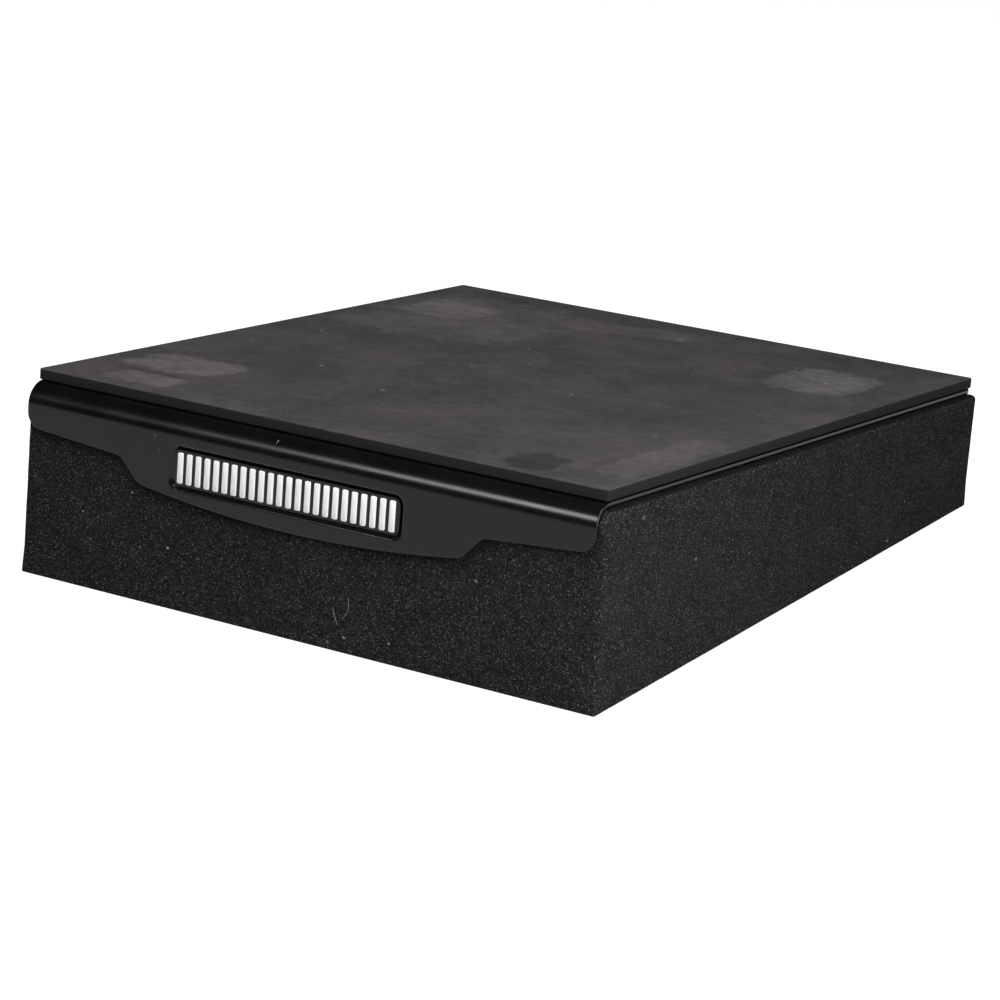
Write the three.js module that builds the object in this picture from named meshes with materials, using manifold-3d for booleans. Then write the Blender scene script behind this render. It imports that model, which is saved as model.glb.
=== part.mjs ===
// Speaker isolation pad: a wedge of foam under a folded steel sheet with a rubber mat on top.
// Millimetres, +Z up, the shaped lip of the steel sheet faces -Y.
// The deck is modelled level: x = 0 in the middle of the sheet, y = 0 at the mat's front edge and
// z = 0 on the sheet's top. The whole deck is then turned until the foam stands flat.

import * as THREE from "three";
import { mergeVertices } from "three/addons/utils/BufferGeometryUtils.js";
import Module from "manifold-3d";

const wasm = await Module();
wasm.setup();

// Clearance between neighbouring pieces
const clearance = 0.3;

// Rubber mat
const matWidth = 260;
const matDepth = 302;
const matThickness = 4.4;
const matCornerRadius = 0.8;

// Steel sheet: its deck is as wide as the mat and ends with it at the back
const sheetThickness = 2;
const sheetBackCornerRadius = 3;
const foldInsideRadius = 7;
const lipReach = 6.2; // from the mat's front edge to the lip's face

// Lip outline: each drop is measured down from the deck's top
const lipEndDrop = 17.6;
const lipStepDrop = 21.3;
const lipCornerDrop = 30.5;
const lipCentreDrop = 36.1;
const stepTopHalfWidth = 83.2;
const stepBottomHalfWidth = 74.4;
const lipEndRadius = 6.5;
const stepTopRadius = 5;
const stepBottomRadius = 6;

// Pocket pressed into the lip for the badge
const pocketWidth = 107.9;
const pocketHeight = 17.8;
const pocketTopDrop = 11.8;
const pocketShift = -5.4; // the pocket sits left of the middle
const pocketCornerRadius = 4.5;
const pocketDepth = 1.5;
const pocketWallRun = 1.6; // how far the sloping wall runs in along the lip

// Badge
const badgeThickness = 0.6;

// Foam block
const wedgeAngle = THREE.MathUtils.degToRad(5.1);
const foamTopWidth = 264.2;
const foamFootSpread = 0.85; // each side, at the front's foot
const foamShift = 0.9; // the block sits right of the sheet's middle
const foamDepth = 306.5;
const foamFrontHeight = 75.3;
const foamBackUndercut = 2.4;
const foamCornerRadius = 2.5;

// Smoothness of the arcs
const foldSteps = 14;
const cornerSteps = 6;
const lipArcSteps = 18;
const pocketCornerSteps = 8;

// Sizes that follow from those above
const sheetWidth = matWidth;
const foldOutsideRadius = foldInsideRadius + sheetThickness;
const lipFace = -lipReach;
const lipBack = lipFace + sheetThickness;
const foldStart = lipFace + foldOutsideRadius;
const sheetBack = matDepth;
const foamFront = lipBack + clearance;
const foamTop = -sheetThickness - clearance;
const foldClearRadius = foldInsideRadius - clearance;
const pocketMiddleZ = -pocketTopDrop - pocketHeight / 2;
const overcut = 10; // cutting solids run this far past what they cut

// A closed outline from corners given as [x, y, radius], with an arc at each corner that has a radius.
function roundedOutline(corners, steps = cornerSteps) {
  const points = [];
  corners.forEach(([x, y, radius], index) => {
    const corner = new THREE.Vector2(x, y);
    if (!radius) {
      points.push(corner);
      return;
    }
    const [beforeX, beforeY] = corners.at(index - 1);
    const [afterX, afterY] = corners[(index + 1) % corners.length];
    const before = new THREE.Vector2(beforeX, beforeY).sub(corner).normalize();
    const after = new THREE.Vector2(afterX, afterY).sub(corner).normalize();
    const halfAngle = Math.acos(THREE.MathUtils.clamp(before.dot(after), -1, 1)) / 2;
    const middle = before.clone().add(after).normalize();
    const centre = corner.clone().addScaledVector(middle, radius / Math.sin(halfAngle));
    const reach = radius / Math.tan(halfAngle);
    const start = corner.clone().addScaledVector(before, reach).sub(centre);
    const end = corner.clone().addScaledVector(after, reach).sub(centre);
    const turn = Math.atan2(start.cross(end), start.dot(end));
    for (let step = 0; step <= steps; step++) {
      points.push(start.clone().rotateAround(new THREE.Vector2(), (turn * step) / steps).add(centre));
    }
  });
  return points;
}

function roundedRectangle(width, height, radius, steps = cornerSteps) {
  const x = width / 2;
  const y = height / 2;
  return roundedOutline([[-x, -y, radius], [x, -y, radius], [x, y, radius], [-x, y, radius]], steps);
}

function extrude(outline, depth) {
  return new THREE.ExtrudeGeometry(new THREE.Shape(outline), { depth, bevelEnabled: false });
}

// An outline of (x, y) points, extruded up from the height bottom.
function extrudeUp(outline, bottom, top) {
  return extrude(outline, top - bottom).translate(0, 0, bottom);
}

// An outline of (y, z) points, extruded along X about x = 0.
function extrudeAcross(outline, width) {
  const toSide = new THREE.Matrix4().makeBasis(
    new THREE.Vector3(0, 1, 0),
    new THREE.Vector3(0, 0, 1),
    new THREE.Vector3(1, 0, 0),
  );
  return extrude(outline, width).translate(0, 0, -width / 2).applyMatrix4(toSide);
}

// An outline of (x, z) points, extruded along Y from front to back.
function extrudeBack(outline, front, back) {
  return extrude(outline, back - front).rotateX(Math.PI / 2).translate(0, back, 0);
}

// A rounded block in the (x, z) plane that narrows by run on every side from front to back.
function taperedBlock(width, height, radius, front, back, run) {
  const outline = roundedRectangle(width, height, radius, pocketCornerSteps);
  const geometry = extrudeBack(outline, front, back);
  const position = geometry.attributes.position;
  const shrink = (radius - run) / radius;
  for (let i = 0; i < position.count; i++) {
    if (position.getY(i) > (front + back) / 2) {
      const centreX = Math.sign(position.getX(i)) * (width / 2 - radius);
      const centreZ = Math.sign(position.getZ(i)) * (height / 2 - radius);
      position.setX(i, centreX + (position.getX(i) - centreX) * shrink);
      position.setZ(i, centreZ + (position.getZ(i) - centreZ) * shrink);
    }
  }
  return geometry;
}

function toSolid(geometry) {
  const bare = geometry.clone();
  bare.deleteAttribute("normal");
  bare.deleteAttribute("uv");
  const merged = mergeVertices(bare, 1e-4);
  return new wasm.Manifold(new wasm.Mesh({
    numProp: 3,
    vertProperties: new Float32Array(merged.attributes.position.array),
    triVerts: new Uint32Array(merged.index.array),
  }));
}

function toGeometry(solid) {
  const { vertProperties, triVerts } = solid.getMesh();
  const geometry = new THREE.BufferGeometry();
  geometry.setAttribute("position", new THREE.BufferAttribute(new Float32Array(vertProperties), 3));
  geometry.setIndex(new THREE.BufferAttribute(new Uint32Array(triVerts), 1));
  geometry.computeVertexNormals();
  return geometry;
}

// A quarter circle of (y, z) points about the fold's axis, from straight up round to straight ahead.
function foldArc(radius) {
  const points = [];
  for (let step = 0; step <= foldSteps; step++) {
    const angle = Math.PI / 2 + (Math.PI / 2) * (step / foldSteps);
    points.push(new THREE.Vector2(
      foldStart + radius * Math.cos(angle),
      -foldOutsideRadius + radius * Math.sin(angle),
    ));
  }
  return points;
}

// Side section of the sheet: the level deck, the fold and the lip, all of one thickness.
function sheetSection() {
  return [
    new THREE.Vector2(sheetBack, -sheetThickness),
    new THREE.Vector2(sheetBack, 0),
    ...foldArc(foldOutsideRadius),
    new THREE.Vector2(lipFace, -lipCentreDrop - overcut),
    new THREE.Vector2(lipBack, -lipCentreDrop - overcut),
    ...foldArc(foldInsideRadius).reverse(),
  ];
}

// Front outline of the lip: side tabs, a step down on each side and a shallow arc between the steps.
function lipOutline() {
  const end = sheetWidth / 2;
  const sag = lipCentreDrop - lipCornerDrop;
  const arcRadius = (stepBottomHalfWidth ** 2 + sag ** 2) / (2 * sag);
  const arcCentreZ = arcRadius - lipCentreDrop;
  const arc = [];
  for (let step = 1; step < lipArcSteps; step++) {
    const x = stepBottomHalfWidth * ((2 * step) / lipArcSteps - 1);
    arc.push([x, arcCentreZ - Math.sqrt(arcRadius ** 2 - x ** 2), 0]);
  }
  return roundedOutline([
    [-end, overcut, 0],
    [-end, -lipEndDrop, lipEndRadius],
    [-stepTopHalfWidth, -lipStepDrop, stepTopRadius],
    [-stepBottomHalfWidth, -lipCornerDrop, stepBottomRadius],
    ...arc,
    [stepBottomHalfWidth, -lipCornerDrop, stepBottomRadius],
    [stepTopHalfWidth, -lipStepDrop, stepTopRadius],
    [end, -lipEndDrop, lipEndRadius],
    [end, overcut, 0],
  ]);
}

// Plan of the sheet: square at the fold, rounded at the two back corners.
function sheetPlan() {
  const end = sheetWidth / 2;
  const front = lipFace - overcut;
  return roundedOutline([
    [-end, front, 0],
    [end, front, 0],
    [end, sheetBack, sheetBackCornerRadius],
    [-end, sheetBack, sheetBackCornerRadius],
  ]);
}

// Pressing moves the pocket's floor back by its depth. The wall keeps the sheet's thickness,
// so behind the lip the bulge is wider than the pocket by this much on every side.
const wallLength = Math.hypot(pocketDepth, pocketWallRun);
const bulgeGrowth = (sheetThickness * (wallLength - pocketWallRun)) / pocketDepth;

function pocketHollow() {
  const slope = pocketWallRun / pocketDepth;
  const growth = slope * overcut;
  return taperedBlock(
    pocketWidth + 2 * growth,
    pocketHeight + 2 * growth,
    pocketCornerRadius + growth,
    lipFace - overcut,
    lipFace + pocketDepth,
    pocketWallRun + growth,
  ).translate(pocketShift, 0, pocketMiddleZ);
}

// The bulge behind the pocket, grown by extra on every side and on its back.
function pocketBulge(extra) {
  const growth = bulgeGrowth + extra;
  return taperedBlock(
    pocketWidth + 2 * growth,
    pocketHeight + 2 * growth,
    pocketCornerRadius + growth,
    lipBack,
    lipBack + pocketDepth + extra,
    pocketWallRun,
  ).translate(pocketShift, 0, pocketMiddleZ);
}

function steelSheet() {
  const folded = toSolid(extrudeAcross(sheetSection(), sheetWidth));
  const lipCut = toSolid(extrudeBack(lipOutline(), lipFace - overcut, sheetBack + overcut));
  const plan = toSolid(extrudeUp(sheetPlan(), -lipCentreDrop - 2 * overcut, overcut));
  const outlined = folded.intersect(lipCut).intersect(plan);
  const pressed = outlined.add(toSolid(pocketBulge(0))).subtract(toSolid(pocketHollow()));
  return toGeometry(pressed);
}

function rubberMat() {
  const outline = roundedRectangle(matWidth, matDepth, matCornerRadius);
  return extrudeUp(outline, clearance, clearance + matThickness).translate(0, matDepth / 2, 0);
}

// A plain plate that covers the pocket's floor.
function badgePlate() {
  const width = pocketWidth - 2 * (pocketWallRun + clearance);
  const height = pocketHeight - 2 * (pocketWallRun + clearance);
  const radius = pocketCornerRadius - pocketWallRun - clearance;
  const back = lipFace + pocketDepth - clearance;
  const outline = roundedRectangle(width, height, radius, pocketCornerSteps);
  return extrudeBack(outline, back - badgeThickness, back).translate(pocketShift, 0, pocketMiddleZ);
}

// Side section of the foam: square front, a round edge inside the sheet's fold and a sloping foot.
function foamSection() {
  const back = foamFront + foamDepth;
  const footRise = (depth) => foamTop - foamFrontHeight + depth * Math.tan(wedgeAngle);
  return [
    new THREE.Vector2(foamFront, footRise(0)),
    new THREE.Vector2(back - foamBackUndercut, footRise(foamDepth - foamBackUndercut)),
    new THREE.Vector2(back, foamTop),
    ...foldArc(foldClearRadius),
  ];
}

// The block widens towards its foot, as a soft block does under its load.
function foamBlock() {
  const depth = foamDepth + 2 * foamCornerRadius;
  const section = toSolid(extrudeAcross(foamSection(), foamTopWidth + 2 * overcut));
  const plan = roundedRectangle(foamTopWidth, foamDepth, foamCornerRadius);
  const trim = toSolid(extrudeUp(plan, -depth, depth).translate(0, foamFront + foamDepth / 2, 0));
  const relief = toSolid(pocketBulge(clearance).translate(-foamShift, 0, 0));
  const geometry = toGeometry(section.intersect(trim).subtract(relief));
  const position = geometry.attributes.position;
  for (let i = 0; i < position.count; i++) {
    const drop = (foamTop - position.getZ(i)) / foamFrontHeight;
    const x = position.getX(i);
    position.setX(i, x * (1 + (2 * foamFootSpread * drop) / foamTopWidth) + foamShift);
  }
  geometry.computeVertexNormals();
  return geometry;
}

const foamMaterial = new THREE.MeshStandardMaterial({ color: 0x232325, roughness: 1, metalness: 0 });
const steelMaterial = new THREE.MeshStandardMaterial({ color: 0x2b2b2c, roughness: 0.45, metalness: 0.1 });
const rubberMaterial = new THREE.MeshStandardMaterial({ color: 0x413f40, roughness: 0.85, metalness: 0 });
const badgeMaterial = new THREE.MeshStandardMaterial({ color: 0x303031, roughness: 0.5, metalness: 0 });

const deck = new THREE.Group();
const pieces = [
  ["foam_base", foamBlock(), foamMaterial],
  ["steel_plate", steelSheet(), steelMaterial],
  ["top_mat", rubberMat(), rubberMaterial],
  ["badge_plate", badgePlate(), badgeMaterial],
];
for (const [name, geometry, material] of pieces) {
  const mesh = new THREE.Mesh(geometry, material);
  mesh.name = name;
  deck.add(mesh);
}
deck.rotation.x = -wedgeAngle;

// The origin lies on the surface that the pad stands on, under the middle of its outer box.
const part = new THREE.Group();
part.add(deck);
part.updateMatrixWorld(true);
const box = new THREE.Box3().setFromObject(part, true);
const middle = box.getCenter(new THREE.Vector3());
deck.position.set(-middle.x, -middle.y, -box.min.z);
part.updateMatrixWorld(true);

export default part;
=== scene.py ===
"""Speaker isolation pad: foam wedge, folded steel sheet with a shaped lip, rubber mat and pocket badge.

All pieces are worked out on the level deck, in millimetres: x = 0 in the middle of the sheet,
y = 0 at the mat's front edge and z = 0 on the sheet's top. Deck.place turns and moves them into
the frame of the CAD model, in metres.
"""
import logging
from dataclasses import dataclass, field
from enum import Enum

import bpy
import numpy as np
from mathutils import Matrix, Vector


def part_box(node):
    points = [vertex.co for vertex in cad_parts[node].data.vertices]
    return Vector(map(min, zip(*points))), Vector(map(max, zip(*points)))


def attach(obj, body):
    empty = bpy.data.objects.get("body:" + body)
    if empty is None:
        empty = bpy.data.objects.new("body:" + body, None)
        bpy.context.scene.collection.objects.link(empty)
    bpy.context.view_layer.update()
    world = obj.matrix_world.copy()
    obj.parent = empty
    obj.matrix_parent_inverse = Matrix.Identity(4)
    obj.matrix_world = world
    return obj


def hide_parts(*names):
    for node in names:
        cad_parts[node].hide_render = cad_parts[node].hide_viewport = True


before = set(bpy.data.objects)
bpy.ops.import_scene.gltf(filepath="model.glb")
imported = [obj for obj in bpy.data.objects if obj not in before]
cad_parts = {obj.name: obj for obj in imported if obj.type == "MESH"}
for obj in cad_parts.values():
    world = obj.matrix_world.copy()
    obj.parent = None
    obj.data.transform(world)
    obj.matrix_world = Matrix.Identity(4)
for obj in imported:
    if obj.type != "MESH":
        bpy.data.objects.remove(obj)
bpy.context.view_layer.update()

log = logging.getLogger("isolation_pad")

Triple = tuple[float, float, float]
Surface = tuple[np.ndarray, np.ndarray, np.ndarray]
Socket = bpy.types.NodeSocket

MM = 0.001
CLEARANCE = 0.3


class Slot(Enum):
    """Material slots of the record."""

    FOAM = "foam"
    STEEL = "painted_steel"
    MAT = "mat_rubber"
    BADGE = "badge"


class Effect(Enum):
    """Names of the shared shader node groups."""

    GRAIN = "Grain"
    CLOUDING = "Clouding"
    SPECKS = "Specks"
    CELLS = "Foam cells"
    PATCH = "Rubbed patch"


# Shapes worked out with numpy


def arc(centre: tuple[float, float], radius: float, start: float, end: float, steps: int) -> np.ndarray:
    """Points of a circular arc: centre + radius (cos a, sin a), a from start to end in degrees.

    Args:
        centre: middle of the circle.
        radius: radius of the arc.
        start: first angle in degrees.
        end: last angle in degrees.
        steps: number of spans along the arc.

    Returns:
        Array (steps + 1, 2).
    """
    angle = np.radians(np.linspace(start, end, steps + 1))
    return np.stack([centre[0] + radius * np.cos(angle), centre[1] + radius * np.sin(angle)], axis=1)


def resample(points: np.ndarray, spacing: float) -> np.ndarray:
    """An open polyline with its long spans cut so that none is longer than spacing.

    Each span from p to q becomes p + t (q - p) for evenly spaced t, and its own ends stay.

    Args:
        points: array (n, k).
        spacing: longest span allowed.

    Returns:
        Array (m, k), m >= n.
    """
    spans = np.linalg.norm(np.diff(points, axis=0), axis=1)
    parts = np.maximum(1, np.ceil(spans / spacing - 1e-6).astype(int))
    start = np.repeat(np.arange(len(parts)), parts)
    offset = np.arange(parts.sum()) - np.repeat(np.cumsum(parts) - parts, parts)
    t = (offset / np.repeat(parts, parts))[:, None]
    inner = points[start] * (1 - t) + points[start + 1] * t
    return np.concatenate([inner, points[-1:]])


def loop_normals(loop: np.ndarray) -> np.ndarray:
    """Outward unit normals of a closed anticlockwise loop, from the chord between both neighbours.

    Args:
        loop: array (n, 2), first point not repeated.

    Returns:
        Array (n, 2): the chord turned a quarter turn clockwise.
    """
    chord = np.roll(loop, -1, axis=0) - np.roll(loop, 1, axis=0)
    normal = np.stack([chord[:, 1], -chord[:, 0]], axis=1)
    return normal / np.linalg.norm(normal, axis=1, keepdims=True)


def rounded_rectangle(half_x: float, half_y: float, radius: float, spacing: float,
                      steps: int = 6) -> np.ndarray:
    """Anticlockwise loop of a rectangle with round corners: four arcs joined by straight sides.

    Args:
        half_x: half of the width.
        half_y: half of the height.
        radius: corner radius.
        spacing: longest span on the straight sides.
        steps: spans in each corner arc.

    Returns:
        Array (n, 2), first point not repeated.
    """
    x, y = half_x - radius, half_y - radius
    corners = [arc((x, -y), radius, -90, 0, steps), arc((x, y), radius, 0, 90, steps),
               arc((-x, y), radius, 90, 180, steps), arc((-x, -y), radius, 180, 270, steps)]
    closed = np.concatenate(corners + [corners[0][:1]])
    return resample(closed, spacing)[:-1]


def rounded_corners(points: list[tuple[float, float, float]], steps: int) -> np.ndarray:
    """An open polyline whose inner corners are replaced by arcs that touch both neighbouring sides.

    Args:
        points: (x, y, radius) of each corner; the two ends keep radius 0.
        steps: spans in each arc.

    Returns:
        Array (n, 2).
    """
    place = np.array([p[:2] for p in points], float)
    out = [place[:1]]
    for i in range(1, len(points) - 1):
        radius = points[i][2]
        if radius == 0:
            out.append(place[i:i + 1])
            continue
        before = place[i - 1] - place[i]
        after = place[i + 1] - place[i]
        before /= np.linalg.norm(before)
        after /= np.linalg.norm(after)
        half = np.arccos(np.clip(before @ after, -1, 1)) / 2
        middle = (before + after) / np.linalg.norm(before + after)
        centre = place[i] + middle * radius / np.sin(half)
        first = place[i] + before * radius / np.tan(half) - centre
        last = place[i] + after * radius / np.tan(half) - centre
        turn = np.arctan2(first[0] * last[1] - first[1] * last[0], first @ last)
        angle = np.arctan2(first[1], first[0]) + turn * np.linspace(0, 1, steps + 1)
        out.append(centre + radius * np.stack([np.cos(angle), np.sin(angle)], axis=1))
    out.append(place[-1:])
    return np.concatenate(out)


def grid_quads(rows: int, columns: int, wrap: bool, first: int = 0) -> np.ndarray:
    """Quads of a grid whose vertex (i, j) is first + i columns + j.

    Args:
        rows: vertices in the first direction.
        columns: vertices in the second direction.
        wrap: whether the second direction closes on itself.
        first: index of the grid's first vertex.

    Returns:
        Array (n, 4) that winds from j to j + 1 and then to i + 1.
    """
    i, j = np.meshgrid(np.arange(rows - 1), np.arange(columns if wrap else columns - 1), indexing="ij")
    k = (j + 1) % columns
    here, there = i * columns, (i + 1) * columns
    return np.stack([here + j, here + k, there + k, there + j], axis=-1).reshape(-1, 4) + first


def closed_rings(rings: np.ndarray) -> Surface:
    """A closed surface from rings carried along a path, with a fan at the middle of both end rings.

    Args:
        rings: array (k, n, 3); ring order and ring direction give outward faces.

    Returns:
        Vertices (m, 3), quads and triangles of indices.
    """
    count, around = rings.shape[:2]
    poles = np.stack([rings[0].mean(axis=0), rings[-1].mean(axis=0)])
    vertices = np.concatenate([rings.reshape(-1, 3), poles])
    quads = grid_quads(count, around, True)
    here = np.arange(around)
    there = (here + 1) % around
    low, high = count * around, count * around + 1
    last = (count - 1) * around
    fans = [np.stack([there, here, np.full(around, low)], axis=1),
            np.stack([last + here, last + there, np.full(around, high)], axis=1)]
    return vertices, quads, np.concatenate(fans)


def repeated(shape: Surface, sizes: np.ndarray, places: np.ndarray) -> Surface:
    """Copies of one surface: each vertex becomes a size times itself plus a place.

    Args:
        shape: vertices, quads and triangles.
        sizes: size of each copy, (n,).
        places: place of each copy, (n, 3).

    Returns:
        The copies as one surface.
    """
    vertices, quads, fans = shape
    every = vertices[None] * sizes[:, None, None] + places[:, None]
    shift = (np.arange(len(places)) * len(vertices))[:, None, None]
    return every.reshape(-1, 3), (quads[None] + shift).reshape(-1, 4), (fans[None] + shift).reshape(-1, 3)


def rounded_slab(loop: np.ndarray, low: float, high: float, edge: float, steps: int,
                 cap_rows: int) -> np.ndarray:
    """Rings of a flat slab whose two rims are quarter rounds.

    A ring is the loop moved in by d along its normals, at height z. Along the path the loop first
    grows from its centre on the low face, then d = edge (1 - sin a) and z = low + edge (1 - cos a)
    round the low rim, the same mirrored round the high rim, and back to the centre.

    Args:
        loop: anticlockwise outline (n, 2).
        low: height of the low face.
        high: height of the high face.
        edge: radius of both rims.
        steps: spans round a rim.
        cap_rows: rings on each face.

    Returns:
        Array (k, n, 3).
    """
    normal = loop_normals(loop)
    angle = np.radians(np.linspace(0, 90, steps + 1))
    inset = np.concatenate([edge * (1 - np.sin(angle)), edge * (1 - np.sin(angle[::-1]))])
    height = np.concatenate([low + edge * (1 - np.cos(angle)), high - edge * (1 - np.cos(angle[::-1]))])
    rim = loop[None] - normal[None] * inset[:, None, None]
    wall = np.concatenate([rim, np.broadcast_to(height[:, None, None], rim.shape[:2] + (1,))], axis=2)
    scale = np.linspace(0.02, 1, cap_rows, endpoint=False)[:, None, None]
    centre = rim[0].mean(axis=0)
    face = centre + (rim[0] - centre)[None] * scale
    under = np.concatenate([face, np.full(face.shape[:2] + (1,), low)], axis=2)
    over = np.concatenate([face[::-1], np.full(face.shape[:2] + (1,), high)], axis=2)
    return np.concatenate([under, wall, over])


def soft_noise(points: np.ndarray, wavelength: float, seed: int, waves: int = 12) -> np.ndarray:
    """Smooth noise in space: the mean of sine waves in random directions and phases.

    Args:
        points: array (..., 3).
        wavelength: middle wavelength, in the unit of the points.
        seed: seed of the random directions.
        waves: number of waves.

    Returns:
        Array (...) with a spread of about one.
    """
    random = np.random.default_rng(seed)
    direction = random.normal(size=(waves, 3))
    direction /= np.linalg.norm(direction, axis=1, keepdims=True)
    length = wavelength * random.uniform(0.7, 1.5, waves)
    phase = random.uniform(0, 2 * np.pi, waves)
    total = np.zeros(points.shape[:-1])
    for k in range(waves):
        total += np.sin(points @ direction[k] * (2 * np.pi / length[k]) + phase[k])
    return total * np.sqrt(2 / waves)


@dataclass(frozen=True)
class Deck:
    """The turn and place of the level deck in the CAD model's frame."""

    tilt: float = 5.1
    mat_top: float = 4.7
    mat_foot: float = 0.3

    def place(self, points: np.ndarray) -> np.ndarray:
        """Deck millimetres to the frame's metres: y' = y cos + z sin, z' = z cos - y sin, then moved.

        The move puts the mat's front foot and top where the CAD mat's box has them.

        Args:
            points: array (..., 3) in millimetres on the level deck.

        Returns:
            Array of the same shape in metres.
        """
        low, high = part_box("top_mat")
        sine, cosine = np.sin(np.radians(self.tilt)), np.cos(np.radians(self.tilt))
        x, y, z = points[..., 0], points[..., 1], points[..., 2]
        turned = np.stack([x, y * cosine + z * sine, z * cosine - y * sine], axis=-1) * MM
        move = np.array([(low[0] + high[0]) / 2, low[1] - self.mat_foot * sine * MM,
                         high[2] - self.mat_top * cosine * MM])
        return turned + move


DECK = Deck()


def make_piece(name: str, vertices: np.ndarray, faces: list[np.ndarray], material: bpy.types.Material,
               replaces: tuple[str, ...] = ()) -> bpy.types.Object:
    """Puts a worked-out surface into the scene as a piece that rides on the root body.

    Args:
        name: name of the piece.
        vertices: deck millimetres, (n, 3).
        faces: index arrays of quads and triangles.
        material: finish of the piece.
        replaces: CAD nodes that the piece stands for.

    Returns:
        The new object, smooth shaded, at the origin.
    """
    mesh = bpy.data.meshes.new(name)
    rows = [row for part in faces for row in part.tolist()]
    mesh.from_pydata(DECK.place(vertices).tolist(), [], rows)
    mesh.validate()
    mesh.polygons.foreach_set("use_smooth", np.ones(len(mesh.polygons), bool))
    mesh.materials.append(material)
    mesh.update()
    piece = bpy.data.objects.new(name, mesh)
    bpy.context.scene.collection.objects.link(piece)
    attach(piece, "root")
    if replaces:
        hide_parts(*replaces)
    log.info("%s: %d vertices, %d faces", name, len(mesh.vertices), len(mesh.polygons))
    return piece


# Shader nodes


class Nodes:
    """Short calls that add nodes to one shader tree; a value is a socket, a number or a colour."""

    def __init__(self, tree: bpy.types.NodeTree) -> None:
        """Keeps the tree."""
        self.tree = tree

    def join(self, value: object, socket: Socket) -> None:
        """Links an output socket to an input socket, or sets a plain value on it."""
        if isinstance(value, Socket):
            self.tree.links.new(value, socket)
        else:
            socket.default_value = value

    def math(self, operation: str, a: object, b: object = 0.0, c: object = 0.0) -> Socket:
        """A Math node.

        Args:
            operation: Blender's name of the operation.
            a: first value.
            b: second value.
            c: third value.

        Returns:
            The output socket.
        """
        node = self.tree.nodes.new("ShaderNodeMath")
        node.operation = operation
        for value, socket in zip((a, b, c), node.inputs):
            self.join(value, socket)
        return node.outputs[0]

    def rest(self, value: object) -> Socket:
        """One minus a value."""
        return self.math("SUBTRACT", 1.0, value)

    def step(self, value: object, low: object, high: object) -> Socket:
        """A smooth step.

        Args:
            value: the value.
            low: where the result is 0.
            high: where the result is 1.

        Returns:
            The output socket.
        """
        node = self.tree.nodes.new("ShaderNodeMapRange")
        node.interpolation_type = "SMOOTHSTEP"
        for item, name in ((value, "Value"), (low, "From Min"), (high, "From Max")):
            self.join(item, node.inputs[name])
        return node.outputs["Result"]

    def split(self, kind: str, value: Socket) -> list[Socket]:
        """The three parts of a colour ("Color") or of a place ("XYZ")."""
        node = self.tree.nodes.new("ShaderNodeSeparate" + kind)
        self.tree.links.new(value, node.inputs[0])
        return list(node.outputs)


class NodeGroup(Nodes):
    """A shader node group under construction, with a place, float inputs and float outputs."""

    def __init__(self, effect: Effect, inputs: dict[str, float], outputs: tuple[str, ...]) -> None:
        """Makes the group.

        Args:
            effect: which effect the group makes.
            inputs: name and default of each float input.
            outputs: names of the float outputs.
        """
        super().__init__(bpy.data.node_groups.new(effect.value, "ShaderNodeTree"))
        place = self.tree.interface.new_socket("Place", in_out="INPUT", socket_type="NodeSocketVector")
        place.hide_value = True
        for name, value in inputs.items():
            socket = self.tree.interface.new_socket(name, in_out="INPUT", socket_type="NodeSocketFloat")
            socket.default_value = value
        for name in outputs:
            self.tree.interface.new_socket(name, in_out="OUTPUT", socket_type="NodeSocketFloat")
        self.inputs = self.tree.nodes.new("NodeGroupInput").outputs
        self.outputs = self.tree.nodes.new("NodeGroupOutput").inputs

    def texture(self, kind: str, scale: object) -> bpy.types.Node:
        """A texture node of one kind on the group's place, with its scale."""
        node = self.tree.nodes.new("ShaderNodeTex" + kind)
        self.join(self.inputs["Place"], node.inputs["Vector"])
        self.join(scale, node.inputs["Scale"])
        return node

    def noise(self, scale: object, detail: float, roughness: float) -> Socket:
        """A noise texture's factor."""
        node = self.texture("Noise", scale)
        node.inputs["Detail"].default_value = detail
        node.inputs["Roughness"].default_value = roughness
        return node.outputs["Fac"]

    def cells(self, scale: object) -> tuple[Socket, Socket]:
        """The distance to the nearest Voronoi point and that cell's colour."""
        node = self.texture("Voronoi", scale)
        return node.outputs["Distance"], node.outputs["Color"]

    def chance(self, colour: Socket) -> Socket:
        """A cell's own random number, from its colour.

        The colour repeats the point's place in the cell, so that its parts alone would make bands
        on a flat face. The fraction of 41 r + 23 g + 31 b doesn't follow the place.

        Args:
            colour: a Voronoi cell's colour.

        Returns:
            The output socket.
        """
        red, green, blue = self.split("Color", colour)
        total = self.math("MULTIPLY", red, 41.0)
        total = self.math("MULTIPLY_ADD", green, 23.0, total)
        return self.math("FRACT", self.math("MULTIPLY_ADD", blue, 31.0, total))

    def give(self, name: str, value: object) -> None:
        """Joins a value to one of the group's outputs."""
        self.join(value, self.outputs[name])


def build_groups() -> None:
    """Builds each shared effect once."""
    for build in (build_grain, build_clouding, build_specks, build_cells, build_patch):
        build()


def build_grain() -> None:
    """Fine surface grain: the sum of two noises, one five times finer, as a height of about 0 to 1."""
    group = NodeGroup(Effect.GRAIN, {"Scale": 1000.0, "Fine share": 0.4}, ("Height",))
    coarse = group.noise(group.inputs["Scale"], 2.0, 0.5)
    fine = group.noise(group.math("MULTIPLY", group.inputs["Scale"], 5.0), 1.0, 0.5)
    group.give("Height", group.math("MULTIPLY_ADD", fine, group.inputs["Fine share"], coarse))


def build_clouding() -> None:
    """Soft clouds of tone: a noise stretched between two limits, as a factor from 0 to 1."""
    group = NodeGroup(Effect.CLOUDING, {"Scale": 30.0, "Low": 0.35, "High": 0.65}, ("Factor",))
    noise = group.noise(group.inputs["Scale"], 4.0, 0.55)
    group.give("Factor", group.step(noise, group.inputs["Low"], group.inputs["High"]))


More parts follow.
